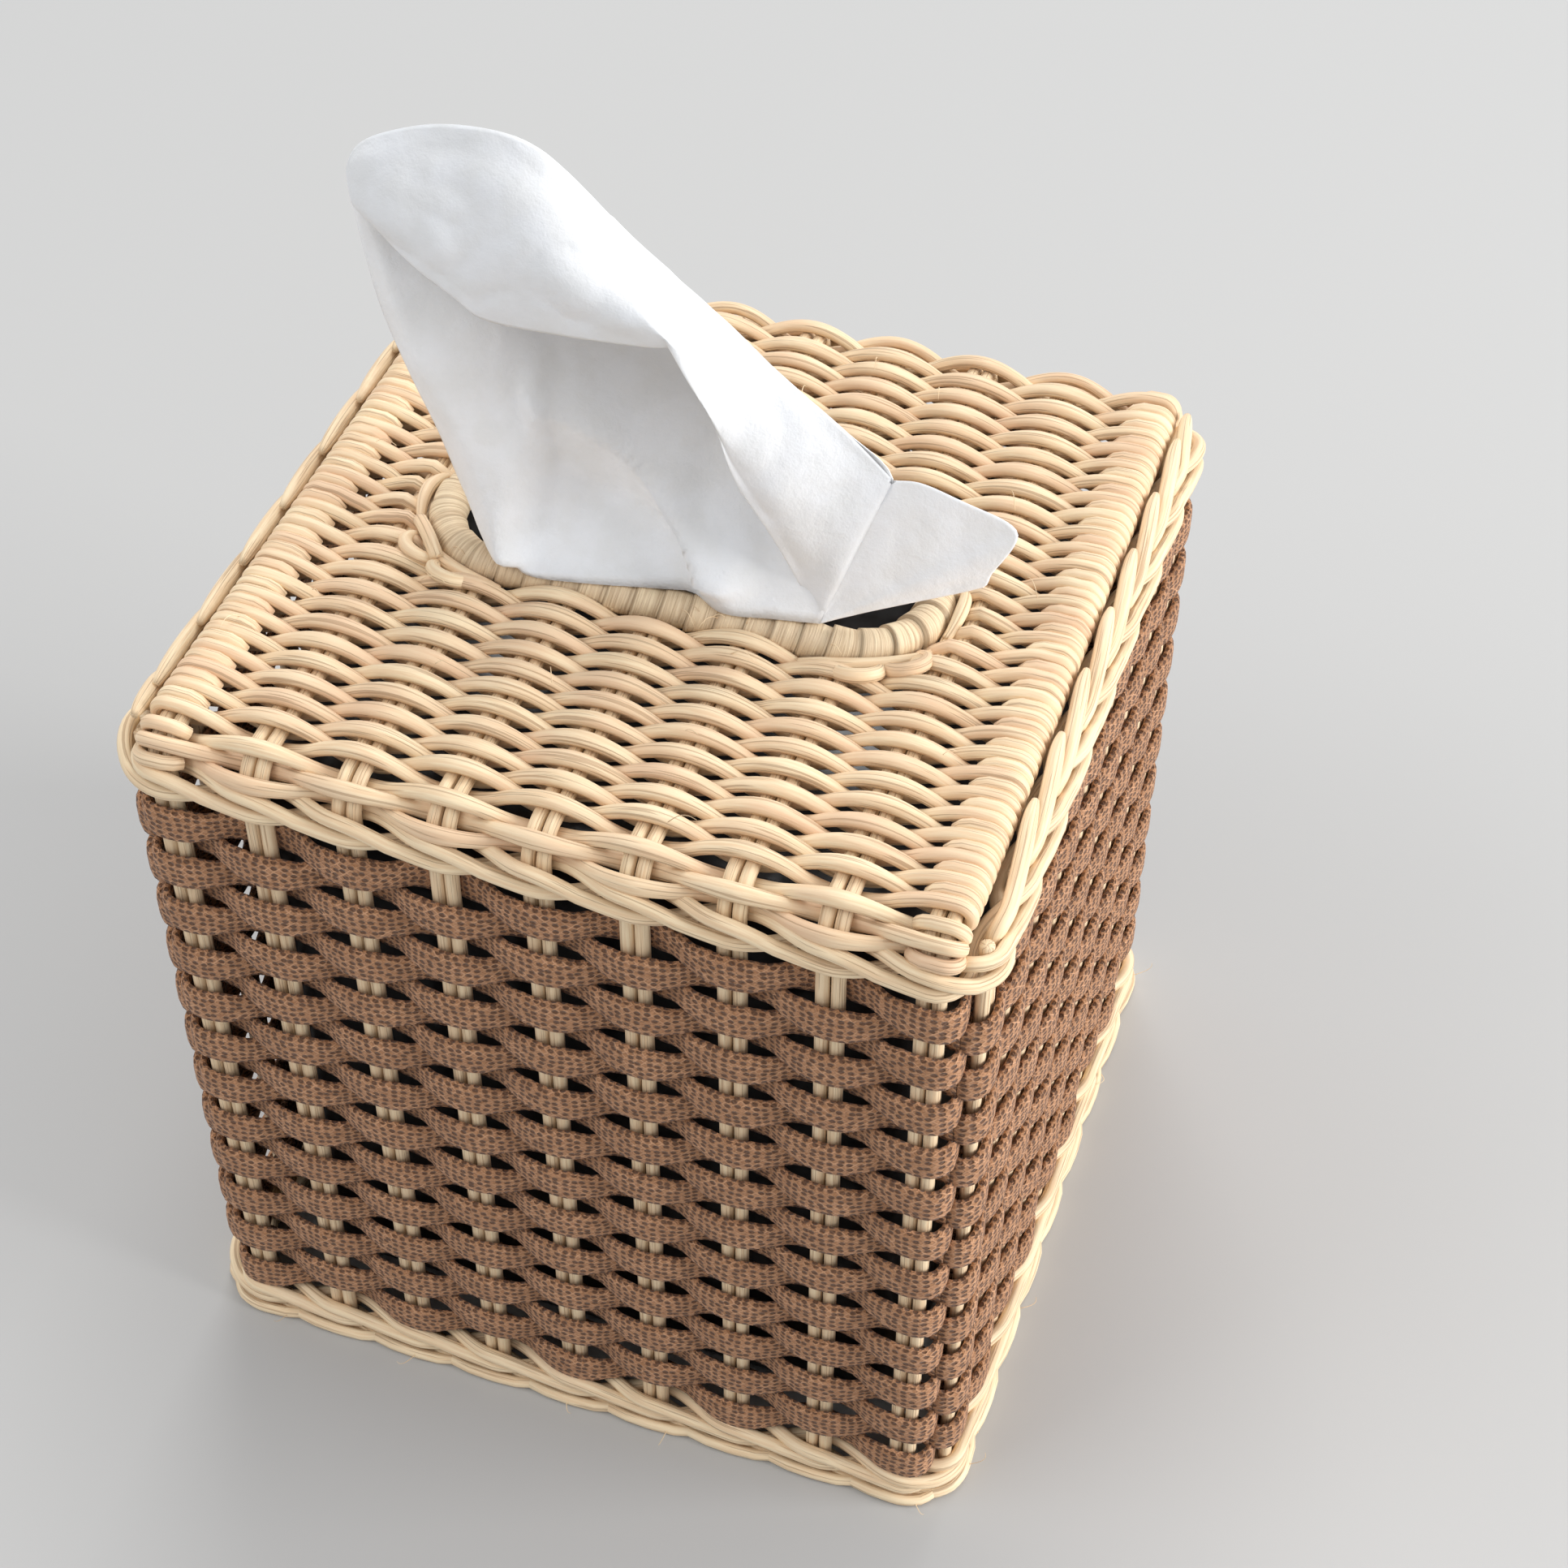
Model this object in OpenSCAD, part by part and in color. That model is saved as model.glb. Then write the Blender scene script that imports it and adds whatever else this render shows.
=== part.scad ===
// Woven cover for a cube of tissues: strip-woven walls on pairs of rattan stakes,
// a rattan lid with a lapped slot ring, twined rim and foot canes, and the pack it stands over.

/* [Cover] */
// Width over the rim canes, left to right
cover_w = 146; // [130:1:180]
// Depth over the rim canes, front to back
cover_d = 142; // [126:1:176]
// Height from the table to the top of the woven lid
cover_h = 152; // [130:1:190]
// Radius of the upright corners on the stakes' line
corner_r = 6.5; // [6:0.5:10]
// Radius on which the stakes bend over the lid's edge
bend_r = 5.5; // [5:0.5:9]

/* [Stakes] */
// Diameter of one stake cane
stake_d = 2.4; // [2:0.1:2.6]
// Diameter of the side stakes' ends where they turn over along the lid's edge
turned_d = 2.2; // [1.6:0.1:2.4]
// Gap between the two canes of a pair
pair_gap = 0.1; // [0.05:0.05:0.3]
// Stake pairs across the front, corner to corner
stakes_wide = 9; // [5:2:11]
// Stake pairs along a side, corner to corner
stakes_deep = 9; // [5:2:11]

/* [Wall weave] */
// Thickness of the flat wall strip
strip_t = 1.6; // [0.8:0.1:2]
// Rows of strip from foot to rim
strip_rows = 23; // [15:1:27]
// Bare stake left between the top row and the rim canes
bare_stake = 3.5; // [0.5:0.5:5]

/* [Lid weave] */
// Thickness of a lid cane
lid_cane_t = 2.2; // [1.6:0.1:2.6]
// Rows of lid cane between the two bent edges
lid_rows = 54; // [30:2:64]

/* [Rim and foot] */
// Diameter of a rim or foot cane
wale_d = 2.4; // [1.8:0.1:2.8]
// Drop from the lid's top to the middle of the rim canes
rim_drop = 10.5; // [10.5:0.5:18]
// Height of the turned stake ends that the cover stands on
foot_h = 2.2; // [1.6:0.1:3.5]
// How far the foot's scallops stand out at the stakes
scallop = 0.9; // [0.3:0.1:1.2]

/* [Slot ring] */
// Clear length of the slot
slot_l = 77; // [64:1:92]
// Clear width of the slot
slot_w = 19; // [16:1:28]
// Thickness of the lapped ring
ring_d = 7; // [5:0.5:9]
// Width of the peel that laps the ring
lap_w = 4.5; // [3:0.5:8]
// Depth of the step between two turns of the lapping
lap_step = 0.3; // [0.1:0.05:0.4]
// Height of the ring's middle over the lid's stakes
ring_lift = 1.2; // [0.4:0.2:2.4]

/* [Tissues] */
// Width of the pack that the cover stands over
pack_w = 116; // [90:1:120]
// Depth of that pack
pack_d = 110; // [84:1:114]
// Height of that pack
pack_h = 132; // [100:1:134]
// Radius of the pack's upright edges
pack_r = 8; // [3:1:14]
// Width of the drawn tissue where it stands in the slot
tissue_w = 54; // [40:1:60]
// Height of the drawn tissue over the slot ring
tissue_up = 70; // [50:1:90]
// Thickness of the drawn tissue's folded plies
tissue_t = 1.2; // [0.8:0.1:2]

/* [Hidden] */
$fn = 32;
// Air left between a cane and what it passes
air = 0.25;
// Where a wave is drawn from one stake to the next, its slope between the last two straight
wave_steps = [0, 0.25, 0.75];

pair_c = (stake_d + pair_gap) / 2;
wale_out = stake_d / 2 + air + wale_d / 2;
half_w = cover_w / 2 - wale_out - wale_d / 2;
half_d = cover_d / 2 - wale_out - wale_d / 2;
last_w = half_w - corner_r;
last_d = half_d - corner_r;
pitch_w = 2 * last_w / (stakes_wide - 1);
pitch_d = 2 * last_d / (stakes_deep - 1);

strip_out = stake_d / 2 + air + strip_t / 2;
lid_out = stake_d / 2 + air + lid_cane_t / 2;
lid_z = cover_h - lid_out - lid_cane_t / 2;
bend_z = lid_z - bend_r;
bend_y = half_d - bend_r;
lid_row = 2 * bend_y / lid_rows;

wale_up = 0.62 * wale_d;
wale_h = 2 * wale_up + wale_d;
rim_z = cover_h - rim_drop;
foot_z = foot_h + air + wale_h / 2;
strip_z0 = foot_z + wale_h / 2 + air;
strip_z1 = rim_z - wale_h / 2 - bare_stake;
strip_row = (strip_z1 - strip_z0) / strip_rows;

ring_rc = (slot_w + ring_d) / 2;
ring_cx = (slot_l + ring_d) / 2 - ring_rc;
ring_z = lid_z + ring_lift;
mouth_r = ceil((ring_rc + ring_d / 2 + air) / lid_row) * lid_row;
mouth_rows = round(mouth_r / lid_row);
// Gap left between two turns of the ring's lapping
lap_gap = 0.03;
// Turn of the shoulder row round the bend
shoulder_turn = 45;
// Where the short rows stop before the ring's straight sides begin
row_end = 2;
// How far a turned side stake runs along the lid's edge, in stakes, and how steeply it rises
turned_run = 1.5;
turned_rise = asin((turned_d + air) / pitch_d);
turned_z = rim_z + wale_h / 2 + air;
// How far past the last stake the twined canes end, in stakes
twine_end = 0.42;
// Depth of the tissue's folds, its lean to the front and the rise of its top edge
tissue_fold = 3;
tissue_back = 6;
tissue_crown = 0.11;

RATTAN = [0.92, 0.80, 0.63];
PEEL = [0.83, 0.74, 0.57];
STRIP = [0.68, 0.51, 0.42];
TISSUE = [0.95, 0.96, 0.97];
FILM = [0.16, 0.16, 0.17];

function wave_places(last, pitch, count) = concat(
    [for (i = [0 : count - 2], f = wave_steps) -last + (i + f) * pitch], [last]);

// A row keeps its side of the last pair this far past its middle, and then runs to the mitre
held = 1.4 * pair_c;
quarter = corner_r * PI / 4;

// Where the weaver runs at s along a row: +1 outside a stake, -1 inside it, 0 where two rows cross
function weave(s, last, pitch, count) =
    abs(s) <= last ? cos(180 * (s + last) / pitch)
    : cos(180 * (s < 0 ? 0 : count - 1)) * min(1, (last + quarter - abs(s)) / (quarter - held));

// A point of one wall in plan, s along it and off outwards, round to the middle of each corner
function wall_point(s, off, last) =
    abs(s) <= last ? [s, off]
    : let (th = (abs(s) - last) / corner_r * 180 / PI)
        [sign(s) * (last + (corner_r + off) * sin(th)), (corner_r + off) * cos(th) - corner_r];

// The places along a wall where its rows are drawn, from mitre to mitre
function wall_stops(last, pitch, count) =
    concat([-last - quarter, -last - held], wave_places(last, pitch, count), [last + held, last + quarter]);

function row_outline(stops, last, pitch, count, way) = concat(
    [for (s = stops) wall_point(s, way * strip_out * weave(s, last, pitch, count) + strip_t / 2, last)],
    [for (i = [len(stops) - 1 : -1 : 0]) let (s = stops[i])
        wall_point(s, way * strip_out * weave(s, last, pitch, count) - strip_t / 2, last)]);

// One wall of strips: each row passes the stakes the other way round from the row below
module strip_wall(last, pitch, count, first_way) {
    stops = wall_stops(last, pitch, count);
    for (row = [0 : strip_rows - 1])
        translate([0, 0, strip_z0 + row * strip_row])
            linear_extrude(strip_row)
                polygon(row_outline(stops, last, pitch, count, first_way * (row % 2 == 0 ? 1 : -1)));
}

module front_strip_weave() {
    color(STRIP) translate([0, -half_d, 0]) rotate([0, 0, 180])
        strip_wall(last_w, pitch_w, stakes_wide, 1);
}

module back_strip_weave() {
    color(STRIP) translate([0, half_d, 0])
        strip_wall(last_w, pitch_w, stakes_wide, 1);
}

module left_strip_weave() {
    color(STRIP) translate([-half_w, 0, 0]) rotate([0, 0, 90])
        strip_wall(last_d, pitch_d, stakes_deep, -1);
}

module right_strip_weave() {
    color(STRIP) translate([half_w, 0, 0]) rotate([0, 0, -90])
        strip_wall(last_d, pitch_d, stakes_deep, -1);
}

// Half a cane: it stands in the wall, bends over the edge and runs in to the middle of the lid
module bent_cane() {
    translate([0, -half_d, foot_h]) cylinder(h = bend_z - foot_h, d = stake_d);
    translate([0, -bend_y, bend_z]) rotate([0, 90, 0]) rotate([0, 0, 180])
        rotate_extrude(angle = 90) translate([bend_r, 0]) circle(d = stake_d);
    translate([0, -bend_y, lid_z]) rotate([-90, 0, 0]) cylinder(h = bend_y, d = stake_d);
}

// The outline of the lapped ring seen from above, grown by a clearance
module ring_outline(r) {
    translate([-ring_cx, -r]) square([2 * ring_cx, 2 * r]);
    for (side = [-1, 1]) translate([side * ring_cx, 0]) circle(r = r, $fn = 64);
}

// Pairs that meet the ring end at it, and the outer pairs run on to the far edge
module through_stakes() {
    color(RATTAN)
        difference() {
            for (turn = [0, 180], i = [0 : stakes_wide - 1], side = [-1, 1])
                rotate([0, 0, turn])
                    translate([-last_w + i * pitch_w + side * pair_c, 0, 0]) bent_cane();
            translate([0, 0, lid_z - stake_d])
                linear_extrude(2 * stake_d) ring_outline(ring_rc + ring_d / 2 + air);
        }
}

// The side stakes end over the rim canes, but for the last pair one cane of each pair turns
// there and runs back along the lid's edge, over the end of the one that turned before it
module side_canes() {
    color(RATTAN)
        for (i = [0 : stakes_deep - 1], side = [-1, 1])
            let (y = -last_d + i * pitch_d + side * pair_c, turns = side > 0 && i < stakes_deep - 1) {
                translate([half_w, y, foot_h])
                    cylinder(h = turned_z - foot_h + (turns ? stake_d / 2 - air : 0), d = stake_d);
                if (turns) translate([half_w, y, turned_z]) rotate([turned_rise - 90, 0, 0])
                    cylinder(h = min(turned_run * pitch_d, last_d + pair_c - y), d = turned_d);
            }
}

module left_stakes() {
    rotate([0, 0, 180]) side_canes();
}

module right_stakes() {
    side_canes();
}

// The middle line of a lid row in elevation, with the side that faces off the stakes:
// it laps the outer pair at each end and weaves over and under the pairs between
function lap_stop(side, a) = let (n = [side * cos(a), sin(a)])
    [[side * (last_w + pair_c), 0] + lid_out * n, n];
function tail_stop(side) = [[side * last_w, -lid_out], [0, -1]];
function wave_stop(x) = [[x, lid_out * cos(180 * (x + last_w) / pitch_w)], [0, 1]];
wave_x = wave_places(last_w, pitch_w, stakes_wide);
lap_angles = [-90, -45, 0, 45, 90];

function row_stops(x_end) = concat(
    [tail_stop(-1)], [for (a = lap_angles) lap_stop(-1, a)],
    [for (x = wave_x) if (x < x_end) wave_stop(x)], [wave_stop(x_end)],
    x_end < last_w ? [] : concat([for (a = -lap_angles) lap_stop(1, a)], [tail_stop(1)]));

function lid_outline(stops, way) = [for (p = concat(
    [for (q = stops) q[0] + q[1] * lid_cane_t / 2],
    [for (i = [len(stops) - 1 : -1 : 0]) stops[i][0] - stops[i][1] * lid_cane_t / 2])) [p[0], way * p[1]]];

// One lid row, its near side on y = 0 and the stakes' line on z = 0
module lid_cane(way, x_end = last_w) {
    translate([0, lid_row, 0]) rotate([90, 0, 0])
        linear_extrude(lid_row) polygon(lid_outline(row_stops(x_end), way));
}

// The rows between the front edge and the slot, with one more on the shoulder of the bend.
// The first row starts over the outer stakes with way 1 and under them with way -1.
module lid_edge_rows(way) {
    for (k = [0 : lid_rows / 2 - mouth_rows - 1])
        translate([0, -bend_y + k * lid_row, lid_z]) lid_cane(k % 2 == 0 ? way : -way);
    translate([0, -bend_y, bend_z]) rotate([shoulder_turn, 0, 0])
        translate([0, -lid_row / 2, bend_r]) lid_cane(-way);
}

module lid_front_weave() {
    color(RATTAN) lid_edge_rows(1);
}

module lid_back_weave() {
    color(RATTAN) rotate([0, 0, 180]) lid_edge_rows(-1);
}

// The short rows between the left edge and the end of the slot ring
module lid_end_rows(way) {
    difference() {
        for (k = [0 : 2 * mouth_rows - 1])
            translate([0, -mouth_r + k * lid_row, lid_z])
                lid_cane((k + lid_rows / 2 - mouth_rows) % 2 == 0 ? way : -way, -ring_cx - row_end);
        translate([0, 0, lid_z - 2 * lid_out]) linear_extrude(4 * lid_out) ring_outline(mouth_r);
    }
}

module lid_left_weave() {
    color(RATTAN) lid_end_rows(1);
}

module lid_right_weave() {
    color(RATTAN) rotate([0, 0, 180]) lid_end_rows(-1);
}

// A place on the stakes' line, counted in stakes from the back left corner by way of the front,
// and off it outwards. The second half of the round is the first half turned about.
deep_gaps = stakes_deep - 1;
half_round = deep_gaps + stakes_wide + 1;
function round_point(t, off) = t >= half_round ? -round_point(t - half_round, off)
    : t < 0 ? -round_point(t + half_round, off)
    : t <= deep_gaps ? [-half_w - off, last_d - t * pitch_d]
    : t <= deep_gaps + 1 ? let (a = 90 * (t - deep_gaps))
        [-last_w, -last_d] - (corner_r + off) * [cos(a), sin(a)]
    : t <= half_round - 1 ? [-last_w + (t - deep_gaps - 1) * pitch_w, -half_d - off]
    : let (a = 90 * (t - half_round + 1)) [last_w, -last_d] + (corner_r + off) * [sin(a), -cos(a)];

// A twined cane passes outside two pairs, first high and then low, and inside the next
function wale_turn(t) = t - 3 * floor(t / 3);
function twine_out(t) = wale_out * lookup(wale_turn(t), [[0, -1], [0.15, -1], [0.5, 0], [0.85, 1],
    [2.15, 1], [2.5, 0], [2.85, -1], [3, -1]]);
function twine_up(t) = wale_up * lookup(wale_turn(t), [[0, 0], [0.5, 1], [1.15, 1],
    [1.85, -1], [2.5, -1], [3, 0]]);
twine_stops = concat([-twine_end], [for (i = [0 : 2 * half_round - 1]) each
    concat([i - 0.15, i + 0.15], i < 2 * half_round - 1 ? [i + 0.5] : [])], [2 * half_round - 1 + twine_end]);

module twined_cane(start) {
    n = 6;
    m = len(twine_stops);
    points = [for (t = twine_stops, k = [0 : n - 1])
        let (a = 360 * k / n, p = round_point(t, twine_out(t + start) + wale_d / 2 * cos(a)))
        [p[0], p[1], twine_up(t + start) + wale_d / 2 * sin(a)]];
    faces = concat(
        [[for (k = [0 : n - 1]) k]], [[for (k = [n - 1 : -1 : 0]) (m - 1) * n + k]],
        [for (i = [0 : m - 2], k = [0 : n - 1]) each let (a = i * n + k, b = i * n + (k + 1) % n)
            [[a, a + n, b + n], [a, b + n, b]]]);
    polyhedron(points, faces);
}

// Three canes twined round the stakes
module wale(z) {
    color(RATTAN) translate([0, 0, z])
        for (start = [0 : 2]) twined_cane(start);
}

module rim_wale() {
    wale(rim_z);
}

module foot_wale() {
    wale(foot_z);
}

// The turned stake ends, which lie flat under the foot canes as a scalloped border
module foot_border() {
    border_t = [for (i = [0 : 8 * half_round - 1]) i / 4];
    outer = [for (t = border_t) round_point(t, wale_out + scallop * cos(360 * t))];
    inner = [for (t = border_t) round_point(t, -wale_out)];
    color(RATTAN) linear_extrude(foot_h) difference() {
        polygon(outer);
        polygon(inner);
    }
}

// The ring round the slot, lapped with peel: each turn steps down on to the next
module slot_ring() {
    straight_laps = max(4, round(2 * ring_cx / lap_w));
    end_laps = max(3, round(PI * ring_rc / lap_w));
    lap = 2 * ring_cx / straight_laps;
    color(PEEL) translate([0, 0, ring_z]) for (turn = [0, 180]) rotate([0, 0, turn]) {
        for (k = [0 : straight_laps - 1])
            translate([-ring_cx + k * lap, -ring_rc, 0]) rotate([0, 90, 0])
                cylinder(h = lap - lap_gap, r1 = ring_d / 2 - lap_step, r2 = ring_d / 2);
        for (k = [0 : end_laps - 1])
            translate([ring_cx, 0, 0]) rotate([0, 0, -90 + k * 180 / end_laps])
                rotate_extrude(angle = 180 / end_laps - lap_gap / ring_rc * 180 / PI)
                    translate([ring_rc, 0]) circle(d = ring_d - 2 * lap_step * (k % 2));
    }
}

module rounded_block(w, d, r, h) {
    linear_extrude(h) union() {
        square([w - 2 * r, d], center = true);
        square([w, d - 2 * r], center = true);
        for (x = [-1, 1], y = [-1, 1]) translate([x * (w / 2 - r), y * (d / 2 - r)]) circle(r = r);
    }
}

module tissue_pack() {
    color(FILM) rounded_block(pack_w, pack_d, pack_r, pack_h);
}

// The drawn tissue: a folded sheet from the pack's top through the slot. Its two upright edges
// are given as places [up the sheet, across, height over the last level].
mouth_z = ring_z + ring_d / 2 + 1;
foot_of_tissue = pack_h + air;
function level(v, h) = v < 0.25 ? foot_of_tissue + (mouth_z - foot_of_tissue) * v / 0.25
    : mouth_z + (tissue_up - 1) * h;
LEFT_X = [[0, -0.5], [0.25, -0.53], [0.5, -0.8], [0.7, -0.94], [0.9, -1.01], [1, -1]];
LEFT_H = [[0.25, 0], [0.5, 0.25], [0.7, 0.51], [0.9, 0.73], [1, 0.85]];
RIGHT_X = [[0, 0.25], [0.25, 0.47], [0.33, 0.94], [0.42, 1.02], [0.48, 0.88], [0.54, 0.64],
    [0.75, 0.15], [1, -0.35]];
RIGHT_H = [[0.25, 0], [0.33, 0.115], [0.42, 0.25], [0.48, 0.31], [0.54, 0.33], [0.75, 0.61], [1, 0.93]];
// The sheet's right edge lies against the back of the slot ring
function at_ring(u, v) = u * u * lookup(v, [[0, 0], [0.18, 1], [0.25, 1], [0.5, 0]]);
function fold(u, v) = (slot_w / 2 - tissue_t / 2 - air) * at_ring(u, v) + (1 - at_ring(u, v))
    * (min(1, v / 0.6) * tissue_fold * sin(500 * u + 120 * v) + tissue_back * (0.4 - v));
function tissue_point(u, v) = [
    tissue_w * (lookup(v, LEFT_X) * (1 - u) + lookup(v, RIGHT_X) * u),
    fold(u, v),
    level(v, lookup(v, LEFT_H) * (1 - u) + lookup(v, RIGHT_H) * u
        + max(0, v - 0.5) * 2 * tissue_crown * sin(180 * u))];

module drawn_tissue() {
    nu = 14;
    nv = 16;
    side = (nu + 1) * (nv + 1);
    points = [for (back = [-1, 1], j = [0 : nv], i = [0 : nu])
        tissue_point(i / nu, j / nv) + [0, back * tissue_t / 2, 0]];
    function at(i, j) = j * (nu + 1) + i;
    faces = concat(
        [for (j = [0 : nv - 1], i = [0 : nu - 1]) each
            let (a = at(i, j), b = at(i + 1, j), c = at(i + 1, j + 1), d = at(i, j + 1))
            [[a, c, b], [a, d, c], [a + side, b + side, c + side], [a + side, c + side, d + side]]],
        [for (i = [0 : nu - 1]) each let (a = at(i, 0), b = at(i + 1, 0), c = at(i, nv), d = at(i + 1, nv))
            [[a, b, b + side], [a, b + side, a + side], [c, d + side, d], [c, c + side, d + side]]],
        [for (j = [0 : nv - 1]) each let (a = at(0, j), b = at(0, j + 1), c = at(nu, j), d = at(nu, j + 1))
            [[a, b + side, b], [a, a + side, b + side], [c, d, d + side], [c, d + side, c + side]]]);
    color(TISSUE) polyhedron(points, faces);
}

front_strip_weave();
back_strip_weave();
left_strip_weave();
right_strip_weave();
through_stakes();
left_stakes();
right_stakes();
lid_front_weave();
lid_back_weave();
lid_left_weave();
lid_right_weave();
rim_wale();
foot_wale();
foot_border();
slot_ring();
tissue_pack();
drawn_tissue();
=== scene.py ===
"""A woven tissue box cover: strip-woven walls on paired canes, a rattan lid with a lapped slot ring,
twined rim and foot canes, and the tissue drawn up through the slot."""

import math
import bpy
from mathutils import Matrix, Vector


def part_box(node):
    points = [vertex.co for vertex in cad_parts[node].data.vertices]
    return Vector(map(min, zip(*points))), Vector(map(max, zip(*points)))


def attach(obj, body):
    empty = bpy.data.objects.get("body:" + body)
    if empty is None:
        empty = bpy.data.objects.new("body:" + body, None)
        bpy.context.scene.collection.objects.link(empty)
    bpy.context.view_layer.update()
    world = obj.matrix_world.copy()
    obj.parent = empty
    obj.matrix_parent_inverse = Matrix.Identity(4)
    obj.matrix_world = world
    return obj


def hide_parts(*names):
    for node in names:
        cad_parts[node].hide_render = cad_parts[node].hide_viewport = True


bl_info = {
    "name": "Woven Tissue Box Cover",
    "version": (1, 0, 0),
    "blender": (4, 5, 0),
    "location": "3D View > Sidebar > Cover",
    "description": "Weaves a tissue box cover of strip and rattan cane round its measured frame",
    "category": "Add Mesh",
}

import bpy
import numpy as np
from bpy.props import FloatProperty, FloatVectorProperty, IntProperty, PointerProperty
from mathutils import Matrix, Vector, noise

MM = 0.001
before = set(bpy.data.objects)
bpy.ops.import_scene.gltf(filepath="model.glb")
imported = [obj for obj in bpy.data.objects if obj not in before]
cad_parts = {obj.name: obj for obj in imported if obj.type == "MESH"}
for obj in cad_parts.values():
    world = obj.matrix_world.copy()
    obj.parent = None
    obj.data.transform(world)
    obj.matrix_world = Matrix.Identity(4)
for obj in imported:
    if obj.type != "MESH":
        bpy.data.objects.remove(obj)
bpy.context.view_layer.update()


class Measures:
    """The cover's sizes in metres, read off the frame's boxes."""

    def __init__(self):
        low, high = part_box("right_stakes")
        self.cane = high.x - low.x
        self.pair = self.cane / 2 + 0.05 * MM
        self.half_w = (low.x + high.x) / 2
        self.last_d = high.y - self.pair - self.cane / 2
        low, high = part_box("through_stakes")
        self.last_w = high.x - self.pair - self.cane / 2
        self.half_d = high.y - self.cane / 2
        self.foot = low.z
        self.lid_z = high.z - self.cane / 2
        self.corner = self.half_w - self.last_w
        self.bend = 5.5 * MM
        low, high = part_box("front_strip_weave")
        self.strip_low, self.strip_high = low.z, high.z
        low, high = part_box("lid_front_weave")
        self.lid_reach = high.z - self.lid_z
        self.mouth = -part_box("lid_left_weave")[0].y
        low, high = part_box("slot_ring")
        self.ring = (high.z - low.z) / 2
        self.ring_z = (high.z + low.z) / 2
        self.ring_bend = high.y - self.ring
        self.ring_half = high.x - self.ring - self.ring_bend
        low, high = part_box("rim_wale")
        self.rim_z = (high.z + low.z) / 2
        self.wale_h = high.z - low.z
        self.side_top = high.z + 0.25 * MM
        self.wale_reach = high.x - self.half_w
        self.foot_z = sum(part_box("foot_wale")[i].z for i in (0, 1)) / 2
        self.pack_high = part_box("tissue_pack")[1]


cover = Measures()
STAKES = 9
WALL_ROWS = 23
LID_ROWS = 54
PITCH_W = 2 * cover.last_w / (STAKES - 1)
PITCH_D = 2 * cover.last_d / (STAKES - 1)
ROUND = 4 * STAKES
STRAND_APART = 37.0
WALL_STEPS, EDGE_STEPS, LID_STEPS, OVER_STEPS = 44, 9, 24, 26


def length(name, about, millimetres):
    """A length that the panel shows"""
    return FloatProperty(name=name, description=about, default=millimetres * MM, unit="LENGTH")


def colour(name, about, value):
    """A colour that the panel shows"""
    return FloatVectorProperty(name=name, description="Colour of " + about, subtype="COLOR", size=3,
                               default=value)


class CoverCane(bpy.types.PropertyGroup):
    """Sizes of the cane and strip"""

    strip_width: length("Strip Width", "Width of a wall strip where it passes over a stake", 7.0)
    strip_thickness: length("Strip Thickness", "Thickness of a wall strip", 1.6)
    lid_cane: length("Lid Cane", "Diameter of a lid cane", 2.45)
    wale_cane: length("Twined Cane", "Diameter of a rim or foot cane", 2.5)
    wander: length("Wander", "How far a cane strays from its place", 0.12)
    lap_width: length("Lap Width", "Width of the peel round the slot ring", 4.7)
    lap_step: length("Lap Step", "Step from one turn of peel down to the next", 0.55)
    fibres: IntProperty(name="Loose Fibres", description="Fine fibres that stand off the canes", default=70,
                        min=0)
    seed: IntProperty(name="Seed", description="Seed of the canes' small differences", default=11)


class CoverTissue(bpy.types.PropertyGroup):
    """Sizes of the drawn tissue"""

    ply: length("Ply", "Thickness of the tissue", 0.15)
    crumple: length("Crumple", "Depth of the small folds", 1.1)
    cells: IntProperty(name="Cells", description="Grid cells along each edge of a fold", default=56, min=8)


class CoverColours(bpy.types.PropertyGroup):
    """Colours of the cane, strip, peel, tissue, film and floor"""

    cane: colour("Cane", "the lid and rim canes", (0.79, 0.58, 0.36))
    cane_pale: colour("Pale Cane", "the canes' bare, ribbed surface", (0.90, 0.74, 0.50))
    cane_pink: colour("Pink Cane", "the canes' warmer patches", (0.74, 0.47, 0.30))
    strip: colour("Strip", "the wall strip", (0.345, 0.162, 0.074))
    strip_thread: colour("Strip Threads", "the strip's raised threads", (0.60, 0.32, 0.175))
    peel: colour("Peel", "the peel round the slot", (0.62, 0.46, 0.29))
    tissue: colour("Tissue", "the tissue", (0.85, 0.86, 0.88))
    film: colour("Film", "the pack's film", (0.012, 0.012, 0.014))
    floor: colour("Floor", "the floor", (0.48, 0.475, 0.465))


def settings(context, draw):
    """The cane sizes and one operator's own random generator"""
    sizes = context.scene.cover_cane
    return sizes, np.random.default_rng(sizes.seed + draw)


class Value:
    """An output of a node, which Python expressions turn into Math nodes"""

    def __init__(self, finish, socket):
        self.finish, self.socket = finish, socket

    def math(self, operation, *values):
        return self.finish.node("ShaderNodeMath", {"operation": operation}, values)

    def __add__(self, other):
        return self.math("ADD", self, other)

    __radd__ = __add__

    def __sub__(self, other):
        return self.math("SUBTRACT", self, other)

    def __rsub__(self, other):
        return self.math("SUBTRACT", other, self)

    def __mul__(self, other):
        return self.math("MULTIPLY", self, other)

    __rmul__ = __mul__

    def __pow__(self, other):
        return self.math("POWER", self, other)

    def sine(self):
        return self.math("SINE", self)

    def clamped(self):
        return self.finish.node("ShaderNodeClamp", {}, [self])

    def above(self, edge, width):
        """0 below edge, 1 above edge + width, and smooth between"""
        return self.finish.node("ShaderNodeMapRange", {"interpolation_type": "SMOOTHSTEP"},
                                {"Value": self, "From Min": edge, "From Max": edge + width})


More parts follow.
